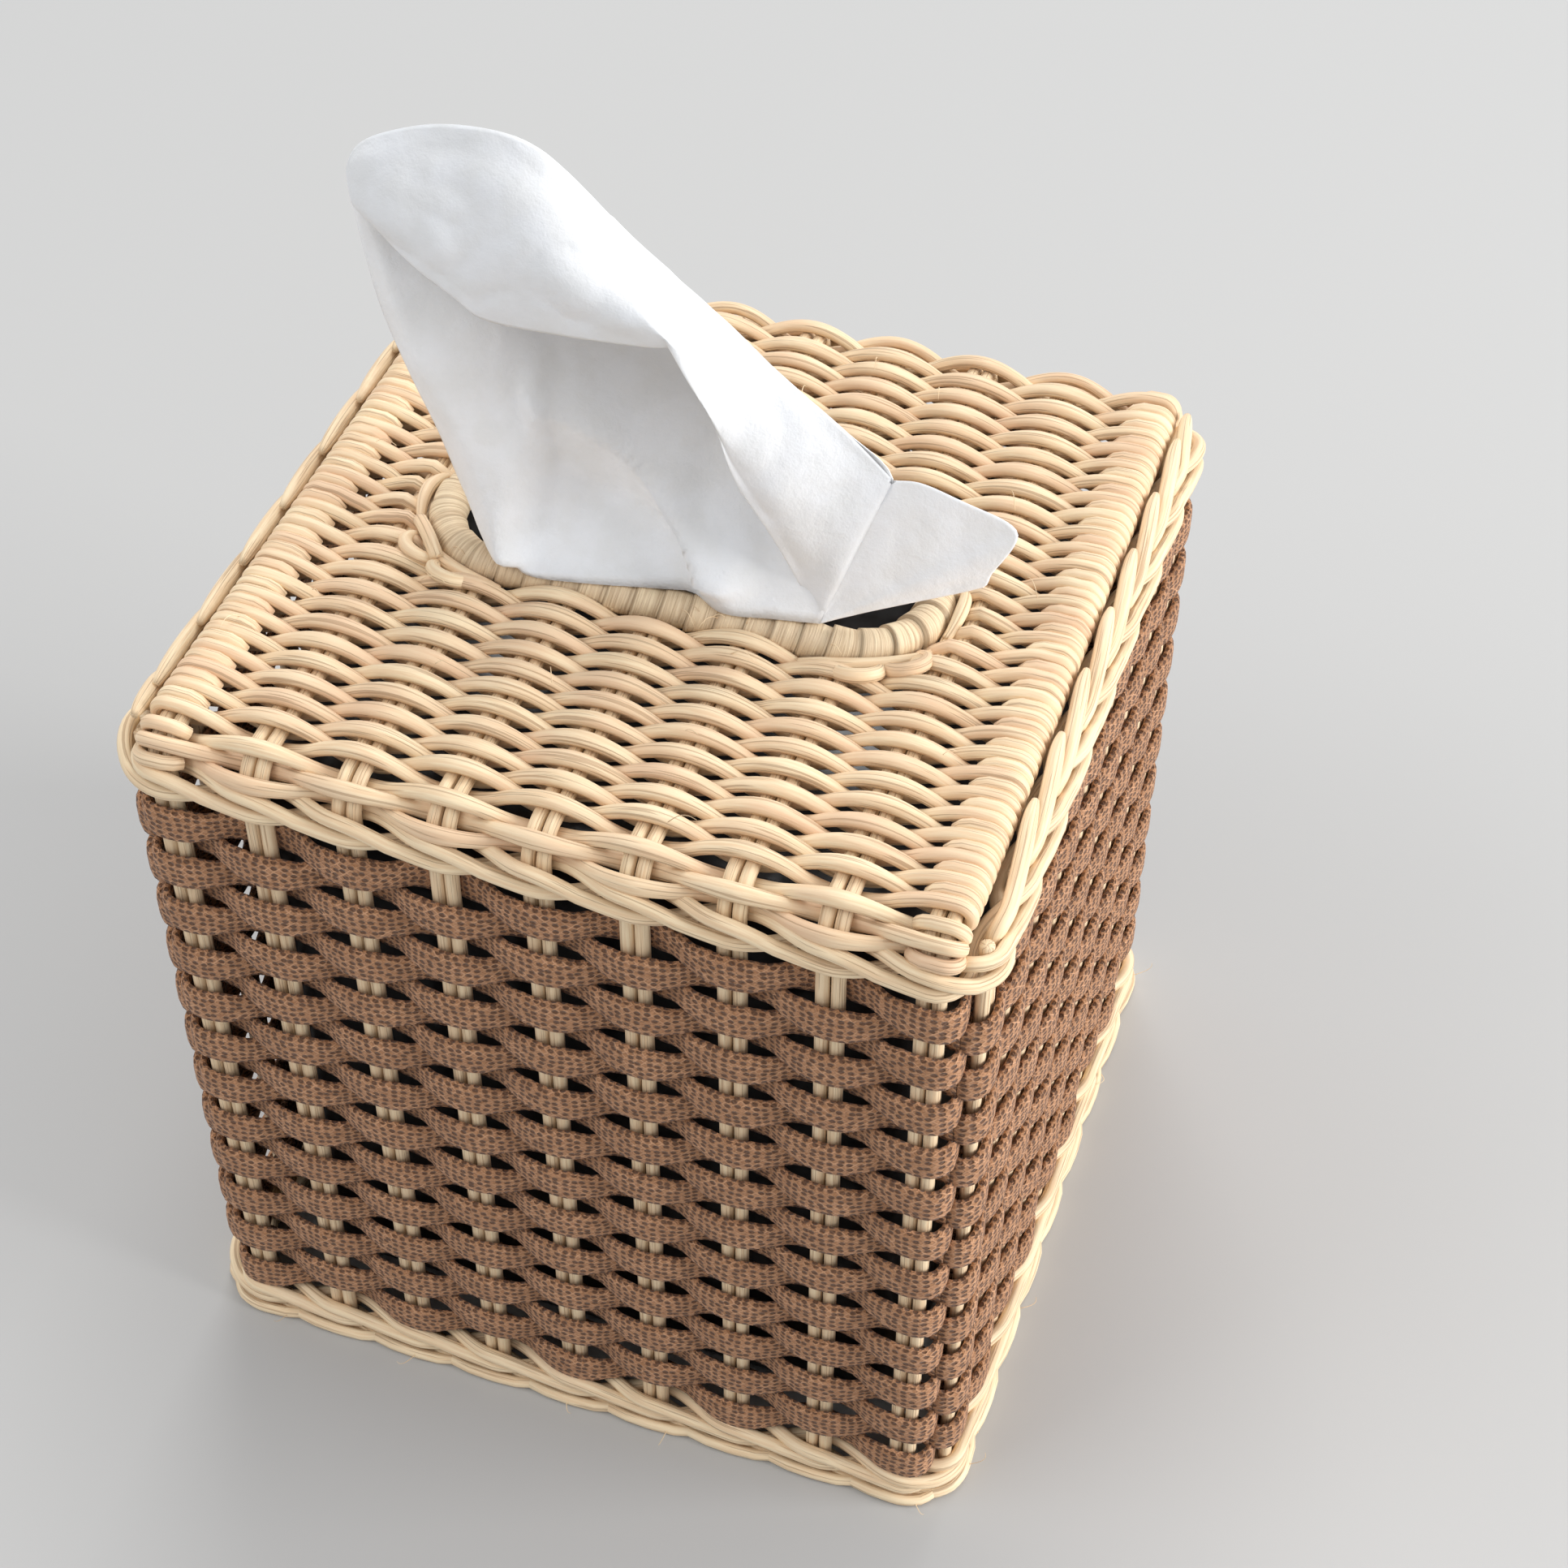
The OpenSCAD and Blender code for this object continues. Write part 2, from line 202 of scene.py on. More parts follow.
class Finish:
    """A material of one Principled surface, built a node at a time"""

    def __init__(self, name, **constants):
        self.material = bpy.data.materials.new(name)
        self.material.use_nodes = True
        self.tree = self.material.node_tree
        self.shader = self.tree.nodes["Principled BSDF"]
        for socket, value in constants.items():
            self.shader.inputs[socket.replace("_", " ")].default_value = value

    def node(self, kind, settings, inputs, output=0):
        node = self.tree.nodes.new(kind)
        for name, value in settings.items():
            setattr(node, name, value)
        for key, value in inputs.items() if isinstance(inputs, dict) else enumerate(inputs):
            self.feed(node.inputs[key], value)
        return Value(self, node.outputs[output])

    def feed(self, socket, value):
        if isinstance(value, Value):
            self.tree.links.new(value.socket, socket)
        elif hasattr(socket.default_value, "__len__") and len(value) == 3 < len(socket.default_value):
            socket.default_value = (*value, 1)
        else:
            socket.default_value = value

    def surface(self, **sockets):
        for name, value in sockets.items():
            self.feed(self.shader.inputs[name.replace("_", " ")], value)

    def along(self, scale=(1, 1, 1)):
        """Millimetres along a strand, millimetres round it, and the strand's own number"""
        place = self.node("ShaderNodeAttribute", {"attribute_name": "along"}, {}, "Vector")
        return self.node("ShaderNodeVectorMath", {"operation": "MULTIPLY"}, [place, scale])

    def parts(self, vector):
        split = self.node("ShaderNodeSeparateXYZ", {}, [vector])
        return [Value(self, socket) for socket in split.socket.node.outputs]

    def place(self, scale):
        """Place on the object, for what doesn't run along a strand"""
        return self.node("ShaderNodeVectorMath", {"operation": "SCALE"},
                         {0: self.node("ShaderNodeTexCoord", {}, {}, "Object"), "Scale": scale})

    def noise(self, vector, scale=1.0, detail=3.0, rough=0.5):
        return self.node("ShaderNodeTexNoise", {}, {"Vector": vector, "Scale": scale, "Detail": detail,
                                                    "Roughness": rough})

    def mix(self, factor, first, second):
        return self.node("ShaderNodeMix", {"data_type": "RGBA"}, {0: factor, 6: first, 7: second}, 2)

    def relief(self, height, depth, strength=1.0):
        self.surface(Normal=self.node("ShaderNodeBump", {}, {"Strength": strength, "Distance": depth,
                                                             "Height": height}))


def rattan_finish(name, colours, rib, warmth):
    """Cane: fine pores and ribs along it, pale and pink patches, and a few dark grain lines"""
    finish = Finish(name, Specular_IOR_Level=0.35, Sheen_Weight=0.05)
    tone = finish.parts(finish.along())[2]
    grain = finish.noise(finish.along((0.10, rib, 1)), 1.0, 3.0, 0.6)
    fine = finish.noise(finish.along((0.35, rib * 2.6, 1)), 1.0, 2.0)
    patch = finish.noise(finish.along((0.06, 0.12, 1)), 1.0, 2.0)
    line = finish.noise(finish.along((0.05, rib * 1.5, 7)), 1.0, 1.0).above(0.58, 0.06)
    own = (tone * 12.9898).sine() * 0.5 + 0.5
    base = finish.mix((grain.above(0.36, 0.26)) * 0.75, colours.cane, colours.cane_pale)
    base = finish.mix(((patch.above(0.42, 0.25) + own * 0.5) * warmth).clamped(), base, colours.cane_pink)
    base = finish.mix(line * 0.55, base, (0.36, 0.22, 0.12))
    finish.surface(Base_Color=base, Roughness=0.62 - grain * 0.18)
    finish.relief(grain * 0.7 + fine * 0.3 - line * 0.35, 0.16 * MM, 0.8)
    return finish.material


def strip_finish(colours):
    """Strip: rows of punched pits, darkened almost to black with painted shade, between raised crossing
    threads, on a soft leathery ground
    """
    finish = Finish("strip", Specular_IOR_Level=0.25, Sheen_Weight=0.12)
    run, across, _ = finish.parts(finish.along())
    pit = finish.node("ShaderNodeTexVoronoi", {"voronoi_dimensions": "2D", "feature": "F1"},
                      {"Vector": finish.along((0.66, 0.82, 1)), "Scale": 1.0, "Randomness": 0.4}, "Distance")
    pits = 1 - pit.above(0.20, 0.20)
    sway = finish.noise(finish.along((0.5, 0.5, 1)), 1.0, 2.0) * 3.0
    one = (run * 4.1 + across * 4.4 + sway).sine().above(0.35, 0.45)
    other = (run * 4.1 - across * 4.4 + sway).sine().above(0.35, 0.45)
    threads = one.math("MAXIMUM", one, other)
    worn = finish.noise(finish.along((0.22, 0.4, 1)), 1.0, 3.0)
    mottle = finish.noise(finish.along((1.6, 1.6, 1)), 1.0, 3.0, 0.6)
    base = finish.mix(mottle.above(0.35, 0.3) * 0.5, colours.strip, colours.strip_thread)
    base = finish.mix(threads * (0.15 + worn.above(0.40, 0.25) * 0.75), base, colours.strip_thread)
    # Painted shade: the pits are darkened almost to black, for the shade that falls inside them
    base = finish.mix(pits * 0.8, base, (0.075, 0.032, 0.018))
    finish.surface(Base_Color=base, Roughness=0.8 - threads * 0.12)
    finish.relief(threads * 0.5 - pits * 1.0 + mottle * 0.35, 0.35 * MM, 1.0)
    return finish.material


def peel_finish(colours, lap):
    """Flat peel: close ribs along each turn, a tone of its own for each, and painted shade in the grooves
    between ribs and at the step where each turn laps the next
    """
    finish = Finish("peel", Specular_IOR_Level=0.4)
    run, _, tone = finish.parts(finish.along())
    ribs = finish.noise(finish.along((3.0, 0.07, 9)), 1.0, 3.0, 0.65)
    patch = finish.noise(finish.along((0.12, 0.1, 1)), 1.0, 2.0)
    own = (tone * 78.233).sine() * 0.5 + 0.5
    part = run.math("FRACT", run * (1 / lap))
    # Bands at both ends of each turn, where it steps down to the next: painted shade in the colour, a dip in
    # the relief
    edge = (1 - part.above(0.0, 0.10)) + part.above(0.93, 0.07)
    groove_shade = 1 - ribs.above(0.30, 0.16)
    base = finish.mix(ribs.above(0.42, 0.2) * 0.7, colours.peel, colours.cane_pale)
    base = finish.mix(own * 0.45 + patch.above(0.45, 0.2) * 0.25, base, (0.72, 0.55, 0.37))
    # Painted shade: the grooves between ribs and the lap steps are darkened
    base = finish.mix((groove_shade * 0.45 + edge * 0.55).clamped(), base, (0.30, 0.19, 0.10))
    finish.surface(Base_Color=base, Roughness=0.6 - ribs * 0.1)
    finish.relief(ribs - edge * 0.8, 0.30 * MM, 1.0)
    return finish.material


def tissue_finish(colours):
    """Soft paper: a fine crepe and a cool white that lets some light through"""
    finish = Finish("tissue", Specular_IOR_Level=0.1, Sheen_Weight=0.15, Subsurface_Weight=0.15,
                    Subsurface_Scale=0.004)
    finish.shader.inputs["Subsurface Radius"].default_value = (1, 1, 1)
    crepe = finish.noise(finish.place(2600), 1.0, 2.0, 0.6)
    cloud = finish.noise(finish.place(160), 1.0, 3.0)
    crease = finish.noise(finish.place(90), 1.0, 4.0, 0.55)
    base = finish.mix(cloud.above(0.35, 0.3) * 0.5, colours.tissue, (0.77, 0.77, 0.76))
    finish.surface(Base_Color=base, Roughness=0.9 - crepe * 0.08)
    finish.relief(crepe * 0.08 + crease, 1.6 * MM, 0.5)
    return finish.material


def film_finish(colours):
    """Thin dark film, tight and shiny, with a few puckers"""
    finish = Finish("film", Specular_IOR_Level=0.5, Coat_Roughness=0.1)
    pucker = finish.noise(finish.place(60), 1.0, 3.0)
    scuff = finish.noise(finish.place(400), 1.0, 3.0)
    finish.surface(Base_Color=finish.mix(scuff.above(0.5, 0.3) * 0.25, colours.film, (0.05, 0.045, 0.045)),
                   Roughness=0.22 + scuff * 0.2)
    finish.relief(pucker, 1.5 * MM, 0.6)
    return finish.material


def unit(vectors):
    return vectors / np.maximum(np.linalg.norm(vectors, axis=-1, keepdims=True), 1e-12)


def smooth(x, low, high):
    t = np.clip((x - low) / (high - low), 0, 1)
    return t * t * (3 - 2 * t)


def round_section(radii, sides=10, squash=1.0):
    """A round cane's outline at each ring: [rings, sides, (across, outwards)]"""
    angle = np.arange(sides) * 2 * np.pi / sides
    outline = np.stack([np.cos(angle), np.sin(angle) * squash], axis=-1)
    return np.asarray(radii, float).reshape(-1, 1, 1) * outline


def flat_section(widths, thickness, sides=12):
    """A flat strip's outline with rounded edges"""
    angle = (np.arange(sides) + 0.5) * 2 * np.pi / sides
    wide = np.sign(np.cos(angle)) * np.abs(np.cos(angle)) ** 0.5
    thick = np.sign(np.sin(angle)) * np.abs(np.sin(angle)) ** 0.62
    across = np.asarray(widths, float).reshape(-1, 1) / 2 * wide
    return np.stack([across, np.broadcast_to(thickness / 2 * thick, across.shape)], axis=-1)


class Bundle:
    """The strands of one piece, gathered into one mesh"""

    def __init__(self):
        self.points, self.quads, self.along = [], [], []
        self.count = self.strands = 0

    def strand(self, path, outward, section, tone=None, closed=False):
        """Sweeps a section along a path; outward is the side that faces off the cover"""
        path = np.asarray(path, float)
        outward = np.broadcast_to(np.asarray(outward, float), path.shape)
        if closed:
            ahead = np.roll(path, -1, axis=0) - np.roll(path, 1, axis=0)
            steps = np.linalg.norm(np.roll(path, -1, axis=0) - path, axis=1)
            length = np.concatenate([[0], np.cumsum(steps)])
        else:
            ahead = np.gradient(path, axis=0)
            length = np.concatenate([[0], np.cumsum(np.linalg.norm(np.diff(path, axis=0), axis=1))])
        ahead = unit(ahead)
        across = unit(np.cross(ahead, outward))
        out = np.cross(across, ahead)
        section = np.broadcast_to(section, (len(path), *section.shape[-2:]))
        ring = path[:, None] + across[:, None] * section[..., :1] + out[:, None] * section[..., 1:]
        if not closed:
            ring = np.concatenate([path[:1, None] + (ring[:1] - path[:1, None]) * 0.05, ring,
                                   path[-1:, None] + (ring[-1:] - path[-1:, None]) * 0.05])
            length = np.concatenate([length[:1], length, length[-1:]])
        rings, sides = ring.shape[:2]
        i = np.arange(rings if closed else rings - 1)[:, None]
        j = np.arange(sides)[None]
        after, beside = (i + 1) % rings, (j + 1) % sides
        here, there = i * sides, after * sides
        quads = np.stack([here + j, there + j, there + beside, here + beside], axis=-1)
        middle = section[len(path) // 2]
        girth = np.linalg.norm(np.diff(middle, axis=0, append=middle[:1]), axis=1)
        girth = np.concatenate([[0], np.cumsum(girth)])
        near, far = length[i + 0 * j], length[i + 1 + 0 * j]
        low, high = girth[j + 0 * i], girth[j + 1 + 0 * i]
        run = np.stack([near, far, far, near], axis=-1)
        turn = np.stack([low, low, high, high], axis=-1)
        number = self.strands * 1.37 if tone is None else tone
        number = np.broadcast_to(np.asarray(number, float).reshape(-1, 1, 1), run.shape)
        apart = STRAND_APART * self.strands
        self.along.append(np.stack([run / MM + apart, turn / MM, number], axis=-1).reshape(-1, 3))
        self.points.append(ring.reshape(-1, 3))
        self.quads.append(quads.reshape(-1, 4) + self.count)
        self.count += rings * sides
        self.strands += 1

    def make(self, name, material, slot, *nodes):
        points, quads = np.concatenate(self.points), np.concatenate(self.quads)
        return piece(name, points, quads, np.concatenate(self.along), material, nodes)


def piece(name, points, quads, along, material, nodes):
    """One mesh object of quads that rides on the cover and stands for the named nodes"""
    mesh = bpy.data.meshes.new(name)
    mesh.vertices.add(len(points))
    mesh.vertices.foreach_set("co", np.asarray(points, np.float32).ravel())
    mesh.loops.add(quads.size)
    mesh.loops.foreach_set("vertex_index", np.asarray(quads, np.int32).ravel())
    mesh.polygons.add(len(quads))
    mesh.polygons.foreach_set("loop_start", np.arange(0, quads.size, 4, dtype=np.int32))
    mesh.update(calc_edges=True)
    mesh.shade_smooth()
    if along is not None:
        layer = mesh.attributes.new("along", "FLOAT_VECTOR", "CORNER")
        layer.data.foreach_set("vector", np.asarray(along, np.float32).ravel())
    mesh.materials.append(material)
    made = bpy.data.objects.new(name, mesh)
    bpy.context.scene.collection.objects.link(made)
    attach(made, "root")
    if nodes:
        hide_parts(*nodes)
    return made


def wander(random, samples, size, waves=3):
    """A slow stray to each side along a strand: [samples, 3]"""
    t = np.linspace(0, 1, samples)[:, None]
    stray = np.zeros((samples, 3))
    for _ in range(waves):
        turns = random.uniform(2, 9, 3)
        stray += np.sin(2 * np.pi * (t * turns + random.uniform(0, 1, 3))) * random.uniform(0.3, 1, 3)
    return stray * size / waves


def turned(points, quarter_turns):
    """Points turned about the upright axis by quarter turns"""
    c, s = [(1, 0), (0, 1), (-1, 0), (0, -1)][quarter_turns % 4]
    x, y, z = points.T
    return np.stack([c * x - s * y, s * x + c * y, z], axis=-1)


def wall_row(last, pitch, way, reach):
    """A strip's middle line along one wall, from corner to corner, and the wall's outward side"""
    quarter = cover.corner * np.pi / 4
    s = np.concatenate([np.linspace(-last - quarter, -last, 7)[:-1],
                        np.linspace(-last, last, 13 * (STAKES - 1) + 1),
                        np.linspace(last, last + quarter, 7)[1:]])
    held = 1.3 * cover.pair
    wave = np.where(np.abs(s) <= last, np.cos(np.pi * (s + last) / pitch),
                    np.cos(np.pi / 2 * np.clip((np.abs(s) - last - held) / (quarter - held), 0, 1)))
    turn = np.maximum(np.abs(s) - last, 0) / cover.corner * np.sign(s)
    off = way * reach * np.sign(wave) * np.abs(wave) ** 0.85
    x = np.where(turn == 0, s, np.sign(s) * last + (cover.corner + off) * np.sin(turn))
    y = np.where(turn == 0, off, (cover.corner + off) * np.cos(turn) - cover.corner)
    line = np.stack([x, y, np.zeros_like(x)], axis=-1)
    return line, np.stack([np.sin(turn), np.cos(turn), np.zeros_like(x)], axis=-1), np.abs(wave)


WALLS = [("front", 2, "w", 1), ("back", 0, "w", 1), ("left", 1, "d", -1), ("right", 3, "d", -1)]


class COVER_OT_wall_strips(bpy.types.Operator):
    """Weave the four walls of flat strip over and under the stake pairs"""

    bl_idname = "cover.wall_strips"
    bl_label = "Wall Strips"

    def execute(self, context):
        sizes, random = settings(context, 0)
        material = strip_finish(context.scene.cover_colours)
        row_h = (cover.strip_high - cover.strip_low) / WALL_ROWS
        reach = cover.cane / 2 + 0.2 * MM + sizes.strip_thickness / 2
        for name, turns, along, first_way in WALLS:
            last, pitch, far = (cover.last_w, PITCH_W, cover.half_d) if along == "w" else \
                (cover.last_d, PITCH_D, cover.half_w)
            bundle = Bundle()
            for row in range(WALL_ROWS):
                line, outward, wave = wall_row(last, pitch, first_way * (-1) ** row, reach)
                bend = smooth(np.abs(np.linspace(-1, 1, len(line))), 0.91, 0.96)
                width = row_h * 1.0 + (sizes.strip_width - row_h) * np.maximum(smooth(wave, 0.35, 0.8), bend)
                ends = np.abs(np.linspace(-1, 1, len(line)))[:, None] < 0.93
                line += wander(random, len(line), 0.35 * MM) * [0, 0.3, 1] * ends
                line += [0, far, cover.strip_low + (row + 0.5) * row_h]
                bundle.strand(turned(line, turns), turned(outward, turns),
                              flat_section(width, sizes.strip_thickness), tone=row * 1.7 + turns * 40.3)
            bundle.make(f"{name}_wall_strips", material, "strip", f"{name}_strip_weave")
        return {"FINISHED"}


def ring_edge(x, grown):
    """How far the slot ring reaches from the middle line at x, grown by a clearance"""
    reach = cover.ring_bend + cover.ring + grown
    past = max(abs(x) - cover.ring_half, 0)
    return math.sqrt(reach ** 2 - past ** 2) if past < reach else 0.0


def bent_stake(x, end):
    """From the foot up the front wall, over the edge and in along the lid to y = end"""
    bend, low_y, top_z = cover.bend, -cover.half_d, cover.lid_z
    angles = np.linspace(0, math.pi / 2, EDGE_STEPS)[1:]
    wall = [(x, low_y, z) for z in np.linspace(cover.foot, top_z - bend, WALL_STEPS)]
    edge = [(x, low_y + bend * (1 - math.cos(a)), top_z - bend + bend * math.sin(a)) for a in angles]
    lid = [(x, y, top_z) for y in np.linspace(low_y + bend, end, LID_STEPS)[1:]]
    turn = [(0, -math.cos(a), math.sin(a)) for a in angles]
    outward = [(0, -1, 0)] * len(wall) + turn + [(0, 0, 1)] * len(lid)
    return np.array(wall + edge + lid), np.array(outward, float)


class COVER_OT_stakes(bpy.types.Operator):
    """Stand the paired canes in the walls and bend them in over the lid"""

    bl_idname = "cover.stakes"
    bl_label = "Stakes"

    def execute(self, context):
        sizes, random = settings(context, 1)
        material = rattan_finish("stake_cane", context.scene.cover_colours, 2.6, 0.12)
        through = Bundle()
        for i in range(STAKES):
            for side in (-1, 1):
                x = -cover.last_w + i * PITCH_W + side * cover.pair
                end = -ring_edge(x, 0.1 * MM)
                for half in (0, 2):
                    line, outward = bent_stake(x if half == 0 else -x, end)
                    radii = cover.cane / 2 * (1 + 0.02 * np.sin(np.linspace(0, 40, len(line)) + i))
                    line += wander(random, len(line), sizes.wander) * [0.3, 1, 0.3]
                    through.strand(turned(line, half), turned(outward, half), round_section(radii))
        through.make("through_stake_canes", material, "rattan", "through_stakes")
        for name, turns in (("left", 2), ("right", 0)):
            bundle = Bundle()
            for i in range(STAKES):
                for side in (-1, 1):
                    y = -cover.last_d + i * PITCH_D + side * cover.pair
                    z = np.linspace(cover.foot, cover.side_top + (0.9 if side < 0 else -0.6) * MM, WALL_STEPS)
                    line = np.stack([0 * z + cover.half_w, 0 * z + y, z], axis=-1)
                    line += wander(random, WALL_STEPS, sizes.wander) * [1, 0.3, 0]
                    radii = np.full(WALL_STEPS, cover.cane / 2)
                    if side > 0 and i < STAKES - 1:
                        run = min(1.62 * PITCH_D, cover.last_d + cover.pair + 1.5 * MM - y)
                        over = curve([(0, 0, 0), (0.7, 1.6, 1.5), (1.2, 5, 2.5), (0.7, 0.5 * run / MM, 3.9),
                                      (-0.25, 0.85 * run / MM, 5.2), (-0.5, run / MM, 5.3)], OVER_STEPS)[1:]
                        line = np.concatenate([line, line[-1] + over])
                        taper = 0.56 - 0.3 * np.linspace(0, 1, OVER_STEPS - 1) ** 9
                        radii = np.concatenate([radii, sizes.lid_cane * taper])
                    outward = turned(np.array([[1.0, 0, 0.25]]), turns)
                    bundle.strand(turned(line, turns), outward, round_section(radii))
            bundle.make(f"{name}_stake_canes", material, "rattan", f"{name}_stakes")
        return {"FINISHED"}


def lap_loop(way, reach):
    """Where a lid row laps the outer pair at its left end, from its tail to the pair's middle"""
    middle = -cover.last_w - cover.pair
    if way > 0:
        tail = [(-cover.last_w + 1.2 * MM, -reach)]
        angles = np.linspace(-90, -270, 13)
    else:
        tail = [(-cover.last_w + 3.6 * MM, 0.2 * reach), (-cover.last_w + 2.6 * MM, 0.72 * reach),
                (-cover.last_w + 1.3 * MM, 0.97 * reach)]
        angles = np.linspace(90, 270, 13)
    loop = [(middle + reach * math.cos(math.radians(a)), reach * math.sin(math.radians(a))) for a in angles]
    return tail + loop


def lid_line(way, reach, end=None):
    """A lid row's middle line [x, z], and how far each place is up or down its wave"""
    stop = cover.last_w if end is None else end
    x = np.arange(-cover.last_w, stop, PITCH_W / 13)
    x = np.append(x[x < stop - 0.4 * MM], stop)
    wave = np.cos(np.pi * (x + cover.last_w) / PITCH_W)
    middle = np.stack([x, way * reach * np.sign(wave) * np.abs(wave) ** 0.9], axis=-1)
    left = np.array(lap_loop(way, reach))
    grown = smooth(x, -cover.last_w, 8 * MM - cover.last_w)
    parts, swell = [left, middle], [np.zeros(len(left)), np.abs(wave) * grown]
    if end is None:
        parts.append((left * [-1, 1])[::-1])
        swell[1] = swell[1] * smooth(-x, -cover.last_w, 8 * MM - cover.last_w)
        swell.append(np.zeros(len(left)))
    return np.concatenate(parts), np.concatenate(swell)


def add_lid_row(bundle, random, sizes, y, way, end=None, tilt=0.0, turns=0):
    """Puts one lid row in a bundle; tilt leans it down round the bend of the front edge"""
    reach = cover.lid_reach - sizes.lid_cane / 2 - 0.05 * MM
    line, swell = lid_line(way, reach, end)
    if end is not None:
        swell[-6:] = 0
        line[-5:, 1] += np.linspace(0, -1, 5) * (line[-5:, 1] + 1.0 * MM)
    stray = wander(random, len(line), sizes.wander * 1.6)
    up = line[:, 1] + stray[:, 2] * 0.5
    radius = cover.bend + up
    lean = np.full(len(line), tilt)
    path = np.stack([line[:, 0], y + stray[:, 1] - radius * np.sin(lean),
                     cover.lid_z + up + radius * (np.cos(lean) - 1)], axis=-1)
    if tilt == 0:
        path[:, 2] = cover.lid_z + up
    radii = sizes.lid_cane / 2 * (1 + 0.03 * random.uniform(-1, 1))
    section = round_section(np.full(len(line), radii))
    section[..., 0] *= (1 + 0.26 * swell ** 2)[:, None]
    section[..., 1] *= 0.9
    ahead = unit(np.gradient(path, axis=0))
    outward = np.cross(ahead, (0, math.cos(tilt), math.sin(tilt)))
    bundle.strand(turned(path, turns), turned(outward, turns), section)


class COVER_OT_lid(bpy.types.Operator):
    """Weave the lid's rows of cane round the slot, each lapping the outer stakes at its ends"""

    bl_idname = "cover.lid"
    bl_label = "Lid Weave"

    def execute(self, context):
        sizes, random = settings(context, 2)
        material = rattan_finish("lid_cane", context.scene.cover_colours, 1.5, 0.42)
        bend_y = cover.half_d - cover.bend
        row = 2 * bend_y / LID_ROWS
        short = round(cover.mouth / row)
        for name, turns, first in (("front", 0, 1), ("back", 2, -1)):
            bundle = Bundle()
            for k in range(LID_ROWS // 2 - short + 1):
                y = min(-bend_y + (k + 0.5) * row, -cover.mouth + 0.9 * MM)
                add_lid_row(bundle, random, sizes, y, first * (-1) ** k, turns=turns)
            for step, tilt in enumerate((22, 44, 66)):
                way = -first * (-1) ** step
                add_lid_row(bundle, random, sizes, -bend_y, way, tilt=math.radians(tilt), turns=turns)
            bundle.make(f"lid_{name}_canes", material, "rattan", f"lid_{name}_weave")
        for name, turns, first in (("left", 0, 1), ("right", 2, -1)):
            bundle = Bundle()
            for k in range(1, 2 * short - 1):
                y = -cover.mouth + (k + 0.5) * row
                past = math.sqrt(max((cover.ring_bend + cover.ring) ** 2 - y ** 2, 0))
                way = first * (-1) ** (k + LID_ROWS // 2 - short)
                end = -cover.ring_half - past + 0.6 * MM
                add_lid_row(bundle, random, sizes, y, way, end=end, turns=turns)
            bundle.make(f"lid_{name}_canes", material, "rattan", f"lid_{name}_weave")
        return {"FINISHED"}


def round_cover(t, off):
    """Places on the stakes' line or off it, counted in stakes from the back left corner by the front"""
    t = np.asarray(t, float) % ROUND
    half = t % (ROUND // 2)
    gaps = STAKES - 1
    turn_a = np.clip(half - gaps, 0, 1) * np.pi / 2
    turn_b = np.clip(half - 2 * gaps - 1, 0, 1) * np.pi / 2
    reach = cover.corner + off
    x = np.select([half <= gaps, half <= gaps + 1, half <= 2 * gaps + 1],
                  [-cover.half_w - off, -cover.last_w - reach * np.cos(turn_a),
                   -cover.last_w + (half - gaps - 1) * PITCH_W], cover.last_w + reach * np.sin(turn_b))
    y = np.select([half <= gaps, half <= gaps + 1, half <= 2 * gaps + 1],
                  [cover.last_d - half * PITCH_D, -cover.last_d - reach * np.sin(turn_a),
                   -cover.half_d - off],
                  -cover.last_d - reach * np.cos(turn_b))
    sign = np.where(t >= ROUND // 2, -1, 1)
    return np.stack([x * sign, y * sign], axis=-1)


def round_path(t, off, z):
    """A path round the cover with its outward side"""
    here, further = round_cover(t, off), round_cover(t, off + MM)
    flat = np.zeros((len(here), 1))
    return np.hstack([here, flat + np.reshape(z, (-1, 1))]), np.hstack([further - here, flat])


def add_wale(bundle, sizes, level, loose):
    """Three canes twined round the stakes: outside two pairs, first high and then low, and inside the next"""
    rise = cover.wale_h / 2 - sizes.wale_cane / 2
    reach = cover.wale_reach - sizes.wale_cane / 2 - 0.05 * MM
    t = np.arange(0, ROUND, 1 / 12)
    for start in range(3):
        turn = (t + start) % 3
        off = reach * np.select([turn < 1, turn < 2], [-np.cos(np.pi * turn), np.ones_like(t)],
                                np.cos(np.pi * (turn - 2)))
        lift = rise * 1.1 * np.sin(2 * np.pi * turn / 3)
        lift = np.clip(lift, -rise, rise) * np.where(lift > 0, 1 + loose, 1)
        stray = np.sin(2 * np.pi * (t / ROUND * 17 + start / 3)) * sizes.wander
        path, outward = round_path(t, off + stray, level + lift + stray)
        bundle.strand(path, outward, round_section(np.full(len(t), sizes.wale_cane / 2)), closed=True)


class COVER_OT_twined_canes(bpy.types.Operator):
    """Twine three canes round the stakes at the rim and at the foot"""

    bl_idname = "cover.twined_canes"
    bl_label = "Twined Canes"

    def execute(self, context):
        sizes = context.scene.cover_cane
        material = rattan_finish("twined_cane", context.scene.cover_colours, 1.7, 0.16)
        for name, level, loose in (("rim", cover.rim_z, 0.9), ("foot", cover.foot_z, 0)):
            bundle = Bundle()
            add_wale(bundle, sizes, level, loose)
            bundle.make(f"{name}_twined_canes", material, "rattan", f"{name}_wale")
        return {"FINISHED"}


